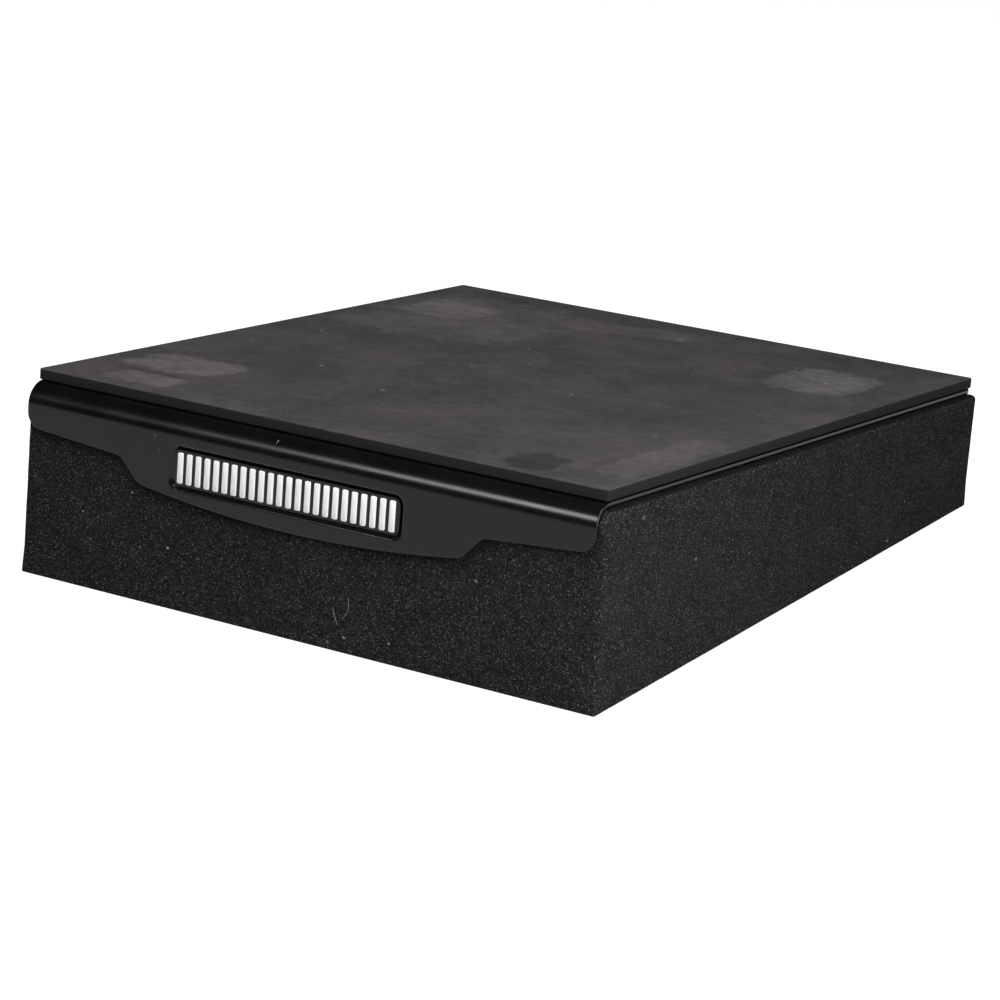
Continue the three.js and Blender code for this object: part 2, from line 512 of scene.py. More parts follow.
def build_specks() -> None:
    """Scattered specks: in a share of Voronoi cells, a disc round the cell's point, as a mask."""
    group = NodeGroup(Effect.SPECKS, {"Scale": 300.0, "Share": 0.05, "Size": 0.25}, ("Mask",))
    near, colour = group.cells(group.inputs["Scale"])
    chosen = group.math("LESS_THAN", group.chance(colour), group.inputs["Share"])
    size = group.math("MULTIPLY", group.split("Color", colour)[1], group.inputs["Size"])
    disc = group.rest(group.step(near, size, group.math("MULTIPLY", size, 1.6)))
    group.give("Mask", group.math("MULTIPLY", disc, chosen))


def build_cells() -> None:
    """Open foam cells: pits round Voronoi points, a mottled tone with painted shade in the pits, and painted
    highlights on cut strut ends.

    A painted highlight is a dot round a cell's point, times the cell's own random number to the third power,
    so that few cells shine strongly.
    """
    group = NodeGroup(Effect.CELLS, {"Scale": 1100.0, "Wall": 0.5, "Dot": 0.38}, ("Height", "Shade", "Painted highlight"))
    scale = group.inputs["Scale"]
    near, colour = group.cells(scale)
    # Pits: the same depth feeds the bump and a painted shade that darkens the pits.
    pit = group.rest(group.step(near, 0.1, group.inputs["Wall"]))
    deep = group.math("MULTIPLY", pit, group.chance(colour))
    group.give("Height", group.rest(deep))
    grain = group.noise(group.math("MULTIPLY", scale, 0.9), 2.0, 0.7)
    own = group.math("MULTIPLY_ADD", group.split("Color", colour)[1], 0.3, grain)
    group.give("Shade", group.math("MULTIPLY_ADD", deep, -0.5, own))
    # Painted highlights: bright dots round a second set of points, for light caught on strut ends.
    tip, tip_colour = group.cells(group.math("MULTIPLY", scale, 1.35))
    dot = group.rest(group.step(tip, 0.12, group.inputs["Dot"]))
    group.give("Painted highlight", group.math("MULTIPLY", dot, group.math("POWER", group.chance(tip_colour), 3.0)))


def build_patch() -> None:
    """A rubbed patch: a turned square with round corners and a ragged edge, as a mask on x and y.

    With u and v the turned offsets divided by the half sizes, the mask steps down where
    the fourth powers of u and v plus a ragged noise pass 1.
    """
    names = {"Centre X": 0.0, "Centre Y": 0.0, "Half length": 0.02, "Half width": 0.01, "Turn": 0.0,
             "Ragged": 1.0, "Soft": 0.7}
    group = NodeGroup(Effect.PATCH, names, ("Mask",))
    place = group.split("XYZ", group.inputs["Place"])
    x = group.math("SUBTRACT", place[0], group.inputs["Centre X"])
    y = group.math("SUBTRACT", place[1], group.inputs["Centre Y"])
    cosine = group.math("COSINE", group.inputs["Turn"])
    sine = group.math("SINE", group.inputs["Turn"])
    along = group.math("ADD", group.math("MULTIPLY", x, cosine), group.math("MULTIPLY", y, sine))
    across = group.math("SUBTRACT", group.math("MULTIPLY", y, cosine), group.math("MULTIPLY", x, sine))
    powers = []
    for offset, half in ((along, "Half length"), (across, "Half width")):
        share = group.math("ABSOLUTE", group.math("DIVIDE", offset, group.inputs[half]))
        powers.append(group.math("POWER", share, 4.0))
    ragged = group.math("SUBTRACT", group.noise(120.0, 5.0, 0.65), 0.5)
    ragged = group.math("MULTIPLY", ragged, group.inputs["Ragged"])
    value = group.math("MULTIPLY_ADD", ragged, 4.0, group.math("ADD", *powers))
    soft = group.inputs["Soft"]
    group.give("Mask", group.rest(group.step(value, group.rest(soft), group.math("ADD", 1.0, soft))))


# Finishes


class Paint(Nodes):
    """A material under construction round one Principled BSDF, read on Object coordinates."""

    def __init__(self, name: str, colour: Triple, roughness: float, specular: float = 0.5) -> None:
        """Makes the material with its plain values.

        Args:
            name: name of the material.
            colour: linear base colour.
            roughness: surface roughness.
            specular: specular level.
        """
        self.material = bpy.data.materials.new(name)
        self.material.use_nodes = True
        super().__init__(self.material.node_tree)
        self.shader = next(n for n in self.tree.nodes if n.type == "BSDF_PRINCIPLED")
        self.shader.inputs["Base Color"].default_value = (*colour, 1.0)
        self.shader.inputs["Roughness"].default_value = roughness
        self.shader.inputs["Specular IOR Level"].default_value = specular
        self.place = self.tree.nodes.new("ShaderNodeTexCoord").outputs["Object"]

    def effect(self, effect: Effect, **values: float) -> bpy.types.NodeOutputs:
        """Places a shared group with its own values.

        Args:
            effect: which group.
            values: input values by name, with _ for a space.

        Returns:
            The group's outputs.
        """
        node = self.tree.nodes.new("ShaderNodeGroup")
        node.node_tree = bpy.data.node_groups[effect.value]
        self.tree.links.new(self.place, node.inputs["Place"])
        for name, value in values.items():
            node.inputs[name.replace("_", " ")].default_value = value
        return node.outputs

    def clouds(self, scale: float, low: float = 0.3, high: float = 0.7) -> Socket:
        """Clouds of one scale per metre, as a factor."""
        return self.effect(Effect.CLOUDING, Scale=scale, Low=low, High=high)["Factor"]

    def specks(self, scale: float, share: float, size: float) -> Socket:
        """Specks in a share of the cells of one scale per metre, as a mask."""
        return self.effect(Effect.SPECKS, Scale=scale, Share=share, Size=size)["Mask"]

    def blend(self, factor: object, a: object, b: object, share: float = 1.0, mode: str = "MIX") -> Socket:
        """A colour mix.

        Args:
            factor: 0 for a and 1 for b.
            a: first colour.
            b: second colour.
            share: the factor is multiplied by it.
            mode: Blender's name of the blend.

        Returns:
            The output socket.
        """
        node = self.tree.nodes.new("ShaderNodeMix")
        node.data_type = "RGBA"
        node.blend_type = mode
        self.join(factor if share == 1.0 else self.math("MULTIPLY", factor, share), node.inputs[0])
        for value, socket in ((a, node.inputs[6]), (b, node.inputs[7])):
            self.join((*value, 1.0) if isinstance(value, tuple) else value, socket)
        return node.outputs[2]

    def toned(self, colour: Socket, tone: Socket) -> Socket:
        """A colour times a grey of one tone."""
        grey = self.tree.nodes.new("ShaderNodeCombineColor")
        for socket in grey.inputs:
            self.tree.links.new(tone, socket)
        return self.blend(1.0, colour, grey.outputs[0], mode="MULTIPLY")

    def deck_height(self) -> Socket:
        """Height above the sheet's top in metres, from the place and the deck's upright direction."""
        upright = (0.0, np.sin(np.radians(DECK.tilt)), np.cos(np.radians(DECK.tilt)))
        node = self.tree.nodes.new("ShaderNodeVectorMath")
        node.operation = "DOT_PRODUCT"
        self.tree.links.new(self.place, node.inputs[0])
        node.inputs[1].default_value = upright
        level = float(DECK.place(np.zeros(3)) @ np.array(upright))
        return self.math("SUBTRACT", node.outputs["Value"], level)

    def bump(self, height: Socket, strength: float, distance: float) -> None:
        """Feeds the shader's normal from a height, in metres at full strength."""
        node = self.tree.nodes.new("ShaderNodeBump")
        node.inputs["Strength"].default_value = strength
        node.inputs["Distance"].default_value = distance
        self.tree.links.new(height, node.inputs["Height"])
        self.tree.links.new(node.outputs["Normal"], self.shader.inputs["Normal"])

    def grain(self, scale: float, fine_share: float, strength: float, distance: float) -> None:
        """A bump from the shared grain."""
        self.bump(self.effect(Effect.GRAIN, Scale=scale, Fine_share=fine_share)["Height"], strength, distance)

    def feed(self, socket: str, value: object) -> None:
        """Joins a value to one of the shader's inputs."""
        self.join(value, self.shader.inputs[socket])


@dataclass(frozen=True)
class FoamFinish:
    """Matt black open-cell foam: dark cells with painted shade in their pits, paler cut walls, painted
    highlights on strut ends, a painted shade band under the sheet's edge, soft clouding and a little lint.
    """

    # Dark cell colour: the foam's own dark tone and painted shade in the pits.
    cell: Triple = (0.0070, 0.0070, 0.0070)
    wall: Triple = (0.025, 0.025, 0.025)
    # Painted highlight colour, for light caught on strut ends.
    painted_highlight: Triple = (0.32, 0.32, 0.32)
    lint: Triple = (0.20, 0.20, 0.20)
    # Painted shade: near-black colour for the band under the sheet's edge.
    shade_under_sheet: Triple = (0.002, 0.002, 0.002)
    cells_per_metre: float = 1200.0
    shade_under_sheet_band: tuple[float, float] = (-0.0036, -0.0026)

    def material(self) -> bpy.types.Material:
        """Makes the foam's material; a painted shade darkens its top edge under the sheet."""
        paint = Paint("Open-cell foam", self.wall, 1.0, 0.1)
        cells = paint.effect(Effect.CELLS, Scale=self.cells_per_metre, Wall=0.55)
        colour = paint.blend(paint.step(cells["Shade"], 0.40, 0.95), self.cell, self.wall)
        colour = paint.toned(colour, paint.math("MULTIPLY_ADD", paint.clouds(60.0), 0.3, 0.85))
        # Painted highlights on the cut strut ends.
        colour = paint.blend(cells["Painted highlight"], colour, self.painted_highlight, 0.85)
        colour = paint.blend(paint.specks(330.0, 0.022, 0.22), colour, self.lint, 0.6)
        # Painted shade: darkens a band along the foam's top edge, under the sheet.
        under_sheet_shade = paint.step(paint.deck_height(), *self.shade_under_sheet_band)
        paint.feed("Base Color", paint.blend(under_sheet_shade, colour, self.shade_under_sheet, 0.8))
        paint.bump(cells["Height"], 0.5, 0.0006)
        return paint.material


@dataclass(frozen=True)
class PowderCoatFinish:
    """Satin black powder coat: slight orange peel, faint clouding and a few dust specks."""

    colour: Triple = (0.0030, 0.0030, 0.0032)
    dust: Triple = (0.12, 0.12, 0.125)
    roughness: float = 0.20

    def material(self) -> bpy.types.Material:
        """Makes the powder coat's material."""
        paint = Paint("Satin black powder coat", self.colour, self.roughness, 0.36)
        clouds = paint.clouds(45.0)
        colour = paint.blend(clouds, self.colour, tuple(1.25 * c for c in self.colour))
        paint.feed("Base Color", paint.blend(paint.specks(420.0, 0.012, 0.16), colour, self.dust, 0.5))
        paint.feed("Roughness", paint.math("MULTIPLY_ADD", clouds, 0.04, self.roughness))
        paint.grain(1100.0, 0.35, 0.12, 0.00006)
        return paint.material


@dataclass(frozen=True)
class Patch:
    """A rubbed or dusty place on the mat, or a painted shadow on it, in deck millimetres and degrees."""

    x: float
    y: float
    half_length: float
    half_width: float
    turn: float
    strength: float


@dataclass(frozen=True)
class RubberFinish:
    """Matt dark rubber: fine grain, warm and cool clouding, rubbed pale patches, painted shadows, dust, and
    sides darkened partly as cut rubber and partly as painted shade.
    """

    warm: Triple = (0.057, 0.0515, 0.0535)
    cool: Triple = (0.048, 0.048, 0.0485)
    pale: Triple = (0.130, 0.118, 0.122)
    # Colour of the painted shadows.
    dark: Triple = (0.020, 0.020, 0.021)
    # Side colour: darker cut rubber and painted shade on the sides, which take less light than the top.
    cut_side_and_shade: Triple = (0.013, 0.013, 0.0135)
    dust: Triple = (0.45, 0.45, 0.45)
    patches: tuple[Patch, ...] = (
        Patch(-97.0, 51.0, 22.0, 15.5, 3.0, 0.62),
        Patch(-92.0, 18.0, 15.0, 9.0, 3.0, 0.48),
        Patch(-98.0, 243.0, 19.0, 20.0, 0.0, 0.62),
        Patch(91.0, 239.0, 19.0, 24.0, 0.0, 0.60),
        Patch(-82.0, 232.0, 42.0, 52.0, 0.0, 0.22),
        Patch(-20.0, 268.0, 30.0, 12.0, 20.0, 0.25),
        Patch(118.0, 60.0, 9.0, 40.0, 0.0, 0.25),
    )
    # Painted shadows: dark patches where shade falls on the mat.
    shadows: tuple[Patch, ...] = (
        Patch(89.0, 17.5, 10.0, 13.5, 0.0, 0.7),
        Patch(-94.3, 29.0, 12.8, 0.8, -2.0, 0.75),
    )

    def masks(self, paint: Paint, patches: tuple[Patch, ...]) -> object:
        """The strongest of several patches as one mask socket."""
        total: object = 0.0
        for patch in patches:
            centre = DECK.place(np.array([patch.x, patch.y, DECK.mat_top]))
            mask = paint.effect(Effect.PATCH, Centre_X=centre[0], Centre_Y=centre[1],
                                Half_length=patch.half_length * MM, Half_width=patch.half_width * MM,
                                Turn=np.radians(patch.turn))["Mask"]
            total = paint.math("MAXIMUM", total, paint.math("MULTIPLY", mask, patch.strength))
        return total

    def material(self) -> bpy.types.Material:
        """Makes the mat's material."""
        paint = Paint("Scuffed rubber", self.warm, 0.85, 0.15)
        colour = paint.blend(paint.clouds(16.0, 0.36, 0.64), self.cool, self.warm)
        colour = paint.blend(self.masks(paint, self.patches), colour, self.pale)
        # Painted shadows darken the colour.
        colour = paint.blend(self.masks(paint, self.shadows), colour, self.dark)
        tone = paint.math("MULTIPLY_ADD", paint.clouds(34.0), 0.26, 0.55)
        tone = paint.math("MULTIPLY_ADD", paint.clouds(170.0, 0.25, 0.75), 0.30, tone)
        tone = paint.math("MULTIPLY_ADD", paint.clouds(900.0, 0.2, 0.8), 0.42, tone)
        colour = paint.toned(colour, tone)
        colour = paint.blend(paint.specks(260.0, 0.02, 0.2), colour, self.dust, 0.3)
        # The sides below the top rim get the darker colour: partly cut rubber, partly painted shade.
        rim = DECK.mat_top * MM
        side = paint.rest(paint.step(paint.deck_height(), rim - 0.0007, rim - 0.0001))
        paint.feed("Base Color", paint.blend(side, colour, self.cut_side_and_shade))
        paint.grain(900.0, 0.5, 0.45, 0.00025)
        return paint.material


@dataclass(frozen=True)
class InkFinish:
    """White raised bars: a clean enamel with very fine grain."""

    colour: Triple = (0.92, 0.92, 0.92)

    def material(self) -> bpy.types.Material:
        """Makes the white enamel."""
        paint = Paint("White enamel", self.colour, 0.45)
        shaded = tuple(0.94 * c for c in self.colour)
        paint.feed("Base Color", paint.blend(paint.clouds(160.0), self.colour, shaded))
        paint.grain(1500.0, 0.3, 0.1, 0.00005)
        return paint.material


@dataclass(frozen=True)
class LintFinish:
    """Pale grey lint and hair: soft fibres with a clouded tone."""

    colour: Triple = (0.22, 0.22, 0.225)

    def material(self) -> bpy.types.Material:
        """Makes the lint's material."""
        paint = Paint("Pale lint", self.colour, 0.9, 0.2)
        shaded = tuple(0.6 * c for c in self.colour)
        paint.feed("Base Color", paint.blend(paint.clouds(900.0), shaded, self.colour))
        return paint.material


# Sub-assemblies


@dataclass
class SteelSheet:
    """One folded sheet: level deck, large fold and a lip with a shaped outline and a pressed pocket.

    Its outer face is a grid: columns across, rows from the back edge over the deck, round the
    fold and down the lip. The inner face is the same grid moved in by the thickness, and a rim
    with round edges joins both.
    """

    half_width: float = 130.0
    depth: float = 302.0
    thickness: float = 2.0
    lip_face: float = -6.2
    fold_radius: float = 9.0
    back_corner: float = 3.0
    end_drop: float = 17.6
    step_drop: float = 21.3
    corner_drop: float = 30.5
    centre_drop: float = 36.1
    step_top: float = 83.2
    step_bottom: float = 74.4
    end_radius: float = 6.5
    step_top_radius: float = 5.0
    step_bottom_radius: float = 6.0
    pocket_half_width: float = 53.95
    pocket_half_height: float = 8.9
    pocket_top: float = 11.8
    pocket_shift: float = -5.4
    pocket_corner: float = 4.5
    pocket_depth: float = 1.5
    pocket_run: float = 1.6
    press_softness: float = 0.09
    rim: float = 0.4
    rim_steps: int = 3
    finish: PowderCoatFinish = field(default_factory=PowderCoatFinish)

    @property
    def pocket_middle(self) -> float:
        """Height of the pocket's middle."""
        return -self.pocket_top - self.pocket_half_height

    @property
    def inner_growth(self) -> float:
        """How much wider the pocket is on the inner face, so that its sloping wall keeps the thickness."""
        wall = np.hypot(self.pocket_depth, self.pocket_run)
        return self.thickness * (wall - self.pocket_run) / self.pocket_depth

    @property
    def deck_shares(self) -> np.ndarray:
        """Places of the deck's rows, from 0 at the back edge to 1 at the fold."""
        return np.concatenate([np.linspace(0, 0.03, 6, endpoint=False), np.linspace(0.03, 1, 26)])

    @property
    def fold_angles(self) -> np.ndarray:
        """Angles of the fold's rows, in radians from the deck."""
        return np.radians(np.linspace(0, 90, 27))[1:]

    def press(self, x: np.ndarray, z: np.ndarray, growth: float) -> np.ndarray:
        """How far the pocket's pressing moves the lip back at (x, z).

        With t the distance inside the pocket's rounded outline, the depth rises along the wall as
        the difference of two soft ramps, S(t) - S(t - run), S(t) = (t + sqrt(t t + e e)) / 2.

        Args:
            x: places across the lip.
            z: heights on the lip.
            growth: how much wider the outline is on every side.

        Returns:
            Distances in the direction of +y.
        """
        corner = self.pocket_corner + growth
        over_x = np.abs(x - self.pocket_shift) - (self.pocket_half_width + growth - corner)
        over_z = np.abs(z - self.pocket_middle) - (self.pocket_half_height + growth - corner)
        outside = np.hypot(np.maximum(over_x, 0), np.maximum(over_z, 0))
        inside = corner - outside - np.minimum(np.maximum(over_x, over_z), 0)

        def ramp(t: np.ndarray) -> np.ndarray:
            """A ramp that starts softly at zero."""
            return (t + np.sqrt(t * t + self.press_softness ** 2)) / 2

        return self.pocket_depth * (ramp(inside) - ramp(inside - self.pocket_run)) / self.pocket_run

    def lip_outline(self) -> np.ndarray:
        """The lip's lower outline as (x, drop): end rounds, sloping tabs, steps and a shallow arc."""
        sag = self.centre_drop - self.corner_drop
        radius = (self.step_bottom ** 2 + sag ** 2) / (2 * sag)
        x = np.linspace(-1, 1, 25)[1:-1] * self.step_bottom
        belly = self.centre_drop - radius + np.sqrt(radius ** 2 - x ** 2)
        left = [(-self.half_width, 0.0, 0.0), (-self.half_width, self.end_drop, self.end_radius),
                (-self.step_top, self.step_drop, self.step_top_radius),
                (-self.step_bottom, self.corner_drop, self.step_bottom_radius)]
        right = [(-px, drop, r) for px, drop, r in reversed(left)]
        return rounded_corners(left + [(px, drop, 0.0) for px, drop in zip(x, belly)] + right, 12)[1:-1]

    def lip_edge(self) -> tuple[np.ndarray, np.ndarray]:
        """The lip's outline moved in by the rim, and the unit directions out of it.

        Returns:
            Two arrays (n, 2) of (x, drop).
        """
        lip = self.lip_outline()
        tangent = np.gradient(lip, axis=0)
        tangent /= np.linalg.norm(tangent, axis=1, keepdims=True)
        away = np.stack([-tangent[:, 1], tangent[:, 0]], axis=1)
        side = np.abs(lip[:, 0]) > self.half_width - 1e-6
        away[side] = 0
        away[side, 0] = np.sign(lip[side, 0])
        return lip - away * self.rim, away

    def columns(self, lip: np.ndarray) -> np.ndarray:
        """The x of each column: the lip edge's own points, plus close ones at the pocket's ends."""
        edge = self.half_width - self.rim
        ends = np.array([-1, 1]) * self.pocket_half_width + self.pocket_shift
        close = np.linspace(-1.2, self.pocket_corner + 1.8, 20)
        every = np.sort(np.concatenate([np.clip(lip[:, 0], -edge, edge), ends[0] + close, ends[1] - close,
                                        np.linspace(-edge, edge, 75)]))
        every = every[np.concatenate([[True], np.diff(every) > 0.12])]
        every[-1] = edge
        return every

    def lip_rows(self, drop: np.ndarray) -> np.ndarray:
        """Drops of the lip's rows in every column, close together at the pocket's walls.

        Args:
            drop: the lip's own drop in each column.

        Returns:
            Array (rows, columns).
        """
        top, low = -self.pocket_top, self.pocket_middle - self.pocket_half_height
        before, after = 0.7, 6.3
        spans = [np.linspace(-self.fold_radius, top + before, 6, endpoint=False)[1:],
                 np.linspace(top + before, top - after, 22, endpoint=False),
                 np.linspace(top - after, low + after, 5, endpoint=False),
                 np.linspace(low + after, low - before, 23)]
        upper = -np.concatenate(spans)
        share = (upper - self.fold_radius) / (upper[-1] - self.fold_radius)
        end = np.minimum(upper[-1], drop - 2.2)
        body = self.fold_radius + share[:, None] * (end - self.fold_radius)[None]
        tail = np.linspace(0, 1, 7)[1:, None]
        return np.concatenate([body, end[None] + tail * (drop - end)[None]])

    def face(self, x: np.ndarray, back: np.ndarray, falls: np.ndarray, depth: float,
             growth: float) -> np.ndarray:
        """The grid at a depth below the outer face.

        Args:
            x: place of each column.
            back: the deck's back edge in each column.
            falls: drops of the lip's rows.
            depth: distance below the outer face.
            growth: how much wider the pocket is on this face.

        Returns:
            Array (rows, columns, 3).
        """
        start, radius = self.lip_face + self.fold_radius, self.fold_radius - depth
        deck = back[None] + (start - back)[None] * self.deck_shares[:, None]
        fold = np.broadcast_to(self.fold_angles[:, None], (len(self.fold_angles), len(x)))
        lip = self.lip_face + depth + self.press(x, -falls, growth)
        y = np.concatenate([deck, start - radius * np.sin(fold), lip])
        z = np.concatenate([np.full(deck.shape, -depth), -self.fold_radius + radius * np.cos(fold), -falls])
        return np.stack([np.broadcast_to(x, y.shape), y, z], axis=-1)

    def rim_rings(self, base: np.ndarray, away: np.ndarray, down: np.ndarray) -> np.ndarray:
        """Rings round the sheet's edge: out by r sin a and down by r (1 - cos a), then mirrored.

        Args:
            base: the outer face's boundary points (n, 3).
            away: unit directions out of the sheet's edge.
            down: unit directions from the outer to the inner face.

        Returns:
            Array (rings, n, 3).
        """
        turn = np.radians(np.linspace(0, 90, self.rim_steps + 1))
        out_by = self.rim * np.concatenate([np.sin(turn)[1:], np.sin(turn[::-1])[:-1]])
        fall = self.rim * (1 - np.cos(turn))
        down_by = np.concatenate([fall[1:], self.thickness - fall[::-1][:-1]])
        return base[None] + away[None] * out_by[:, None, None] + down[None] * down_by[:, None, None]

    def build(self) -> tuple[np.ndarray, np.ndarray]:
        """Builds the closed sheet; returns its vertices in deck millimetres and its quads."""
        edge, edge_away = self.lip_edge()
        x = self.columns(edge)
        lip_away = np.stack([np.interp(x, edge[:, 0], edge_away[:, k]) for k in (0, 1)], axis=1)
        lip_away /= np.linalg.norm(lip_away, axis=1, keepdims=True)
        falls = self.lip_rows(np.interp(x, edge[:, 0], edge[:, 1]))
        reach = self.back_corner - self.rim
        corner = np.clip((np.abs(x) - (self.half_width - self.back_corner)) / reach, 0, 1)
        upright = np.sqrt(1 - corner ** 2)
        back = self.depth - self.back_corner + reach * upright
        outer = self.face(x, back, falls, 0.0, 0.0)
        inner = self.face(x, back, falls, self.thickness, self.inner_growth)
        rows, columns = outer.shape[:2]

        turn = np.concatenate([0 * self.deck_shares, self.fold_angles, np.full(len(falls), np.pi / 2)])
        down = np.stack([0 * turn, np.sin(turn), -np.cos(turn)], axis=1)[:, None]
        away = np.zeros(outer.shape)
        away[:, 0, 0], away[:, -1, 0] = -1, 1
        away[0, :, :2] = np.stack([np.sign(x) * corner, upright], axis=1)
        away[-1, :, 0], away[-1, :, 2] = lip_away[:, 0], -lip_away[:, 1]

        grid = np.arange(rows * columns).reshape(rows, columns)
        ring = np.concatenate([grid[0, ::-1], grid[1:, 0], grid[-1, 1:], grid[-2:0:-1, -1]])
        boundary = [part.reshape(-1, 3)[ring] for part in (outer, away, np.broadcast_to(down, outer.shape))]
        rim = self.rim_rings(*boundary)
        first_rim, first_inner = rows * columns, rows * columns + rim.shape[0] * rim.shape[1]
        vertices = np.concatenate([outer.reshape(-1, 3), rim.reshape(-1, 3), inner.reshape(-1, 3)])
        inside = np.arange(first_rim, first_inner).reshape(rim.shape[:2])
        here = np.concatenate([ring[None], inside, (ring + first_inner)[None]])
        there = np.roll(here, -1, axis=1)
        rim_quads = np.stack([here[:-1], here[1:], there[1:], there[:-1]], axis=-1).reshape(-1, 4)
        outer_quads = grid_quads(rows, columns, False)[:, ::-1]
        inner_quads = grid_quads(rows, columns, False, first_inner)
        return vertices, np.concatenate([outer_quads, inner_quads, rim_quads])

    def dress(self) -> bpy.types.Object:
        """Puts the sheet in the scene with its powder coat."""
        vertices, quads = self.build()
        return make_piece("Steel_sheet", vertices, [quads], self.finish.material(),
                          ("steel_plate",))


@dataclass
class RubberMat:
    """The mat: a flat slab with slightly rounded rims."""

    half_width: float = 130.0
    depth: float = 302.0
    low: float = 0.3
    high: float = 4.7
    corner: float = 0.8
    rim: float = 0.45
    finish: RubberFinish = field(default_factory=RubberFinish)

    def dress(self) -> bpy.types.Object:
        """Puts the mat in the scene with its rubber."""
        loop = rounded_rectangle(self.half_width, self.depth / 2, self.corner, 4.0)
        rings = rounded_slab(loop, self.low, self.high, self.rim, 4, 6)
        rings[..., 1] += self.depth / 2
        vertices, quads, fans = closed_rings(rings)
        return make_piece("Rubber_mat", vertices, [quads, fans], self.finish.material(),
                          ("top_mat",))


@dataclass
class FoamBlock:
    """The foam wedge: its side section carried across, with round cut edges and a slightly uneven skin."""

    top_width: float = 264.2
    foot_spread: float = 0.85
    shift: float = 0.9
    front: float = -3.9
    depth: float = 306.5
    top: float = -2.3
    front_height: float = 75.3
    back_undercut: float = 2.4
    fold_radius: float = 6.7
    edge: float = 2.0
    foot_edge: float = 0.8
    spacing: float = 2.2
    uneven: float = 0.05
    finish: FoamFinish = field(default_factory=FoamFinish)

    def foot(self, y: np.ndarray) -> np.ndarray:
        """Height of the foot below the deck at y: a straight slope of the deck's tilt."""
        return self.top - self.front_height + (y - self.front) * np.tan(np.radians(DECK.tilt))

    def section(self) -> np.ndarray:
        """Closed side section (y, z), anticlockwise seen from +x, as (n, 2)."""
        back = self.front + self.depth
        foot_back = back - self.back_undercut
        middle = (self.front + back) / 2
        points = [(middle, self.top, 0.0), (self.front, self.top, self.fold_radius),
                  (self.front, float(self.foot(self.front)), self.foot_edge),
                  (foot_back, float(self.foot(foot_back)), self.foot_edge),
                  (back, self.top, self.edge + 0.2), (middle, self.top, 0.0)]
        return resample(rounded_corners(points, 6), self.spacing)[:-1]

    def rings(self) -> np.ndarray:
        """Rings of a straight block from the right end to the left.

        A ring is the section moved in by d along its normals, at a place x. The path across starts
        at one end's middle, grows to the section, turns round the end's edge with
        d = e (1 - sin a), x = end - e (1 - cos a), and so on to the other end. e is the edge
        radius, smaller near the foot.

        Returns:
            Array (k, n, 3).
        """
        loop = self.section()
        high = np.clip((loop[:, 1] - self.foot(loop[:, 0])) / 12.0, 0, 1)
        least = self.foot_edge * 0.9
        radius = least + (self.edge - least) * high * high * (3 - 2 * high)
        half = self.top_width / 2
        angle = np.radians(np.linspace(0, 90, 6))[:, None]
        rim = loop[None] - loop_normals(loop)[None] * (radius[None] * (1 - np.sin(angle)))[..., None]
        end = np.concatenate([(half - radius[None] * (1 - np.cos(angle)))[..., None], rim], axis=2)
        centre = rim[0].mean(axis=0)
        cap = centre + (rim[0] - centre)[None] * np.linspace(0.03, 1, 18, endpoint=False)[:, None, None]
        cap = np.concatenate([np.full(cap.shape[:2] + (1,), half), cap], axis=2)
        right = np.concatenate([cap, end])
        across = np.linspace(1, -1, int(self.top_width / self.spacing))[1:-1, None] * (half - radius)[None]
        body = np.concatenate([across[..., None], np.broadcast_to(loop, across.shape + (2,))], axis=2)
        return np.concatenate([right, body, right[::-1] * np.array([-1, 1, 1])])

    def build(self) -> Surface:
        """Builds the block: its front makes room for the pocket, and its ends are uneven and spread."""
        rings = self.rings()
        drop = (self.top - rings[..., 2]) / self.front_height
        steel = SteelSheet()
        at_front = np.clip(1 - (rings[..., 1] - self.front) / 8, 0, 1)
        pressed = steel.press(rings[..., 0] + self.shift, rings[..., 2], steel.inner_growth + CLEARANCE + 0.1)
        rings[..., 1] += pressed * at_front * (steel.pocket_depth + CLEARANCE) / steel.pocket_depth
        free = np.clip((-3.5 - rings[..., 2]) / 6, 0, 1)
        push = soft_noise(rings, 26.0, 4) * self.uneven + soft_noise(rings, 9.0, 7) * self.uneven * 0.5
        at_end = np.abs(rings[..., 0]) > self.top_width / 2 - 3
        rings[..., 0] -= np.sign(rings[..., 0]) * np.abs(push) * free * at_end
        rings[..., 0] = rings[..., 0] * (1 + 2 * self.foot_spread * drop / self.top_width) + self.shift
        return closed_rings(rings)

    def dress(self) -> bpy.types.Object:
        """Puts the foam in the scene as a padded piece."""
        vertices, quads, fans = self.build()
        piece = make_piece("Foam_wedge", vertices, [quads[:, ::-1], fans[:, ::-1]], self.finish.material(),
                           ("foam_base",))
        return piece


@dataclass
class Badge:
    """The pocket's plate with plain white upright bars on it."""

    bars: int = 24
    pitch: float = 4.25
    bar_half_width: float = 1.25
    bar_half_height: float = 6.0
    corner: float = 0.6
    raised: float = 0.6
    back: float = -5.55
    bar_finish: InkFinish = field(default_factory=InkFinish)

    def build_bars(self) -> Surface:
        """All bars at once: one rounded slab, repeated along x by its pitch."""
        steel = SteelSheet()
        loop = rounded_rectangle(self.bar_half_width, self.bar_half_height, self.corner, 1.5, 4)
        flat, quads, fans = closed_rings(rounded_slab(loop, 0.0, self.raised, 0.15, 2, 1))
        upright = np.stack([flat[:, 0], self.back - flat[:, 2], flat[:, 1] + steel.pocket_middle], axis=1)
        offset = (np.arange(self.bars) - (self.bars - 1) / 2) * self.pitch + steel.pocket_shift
        places = offset[:, None] * np.array([1.0, 0.0, 0.0])
        return repeated((upright, quads, fans), np.ones(self.bars), places)

    def dress(self) -> bpy.types.Object:
        """Dresses the CAD plate with the sheet's powder coat and puts the bars in the scene."""
        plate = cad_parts["badge_plate"]
        plate.data.materials.clear()
        plate.data.materials.append(bpy.data.materials["Satin black powder coat"])
        vertices, quads, fans = self.build_bars()
        return make_piece("White_bars", vertices, [quads, fans], self.bar_finish.material())


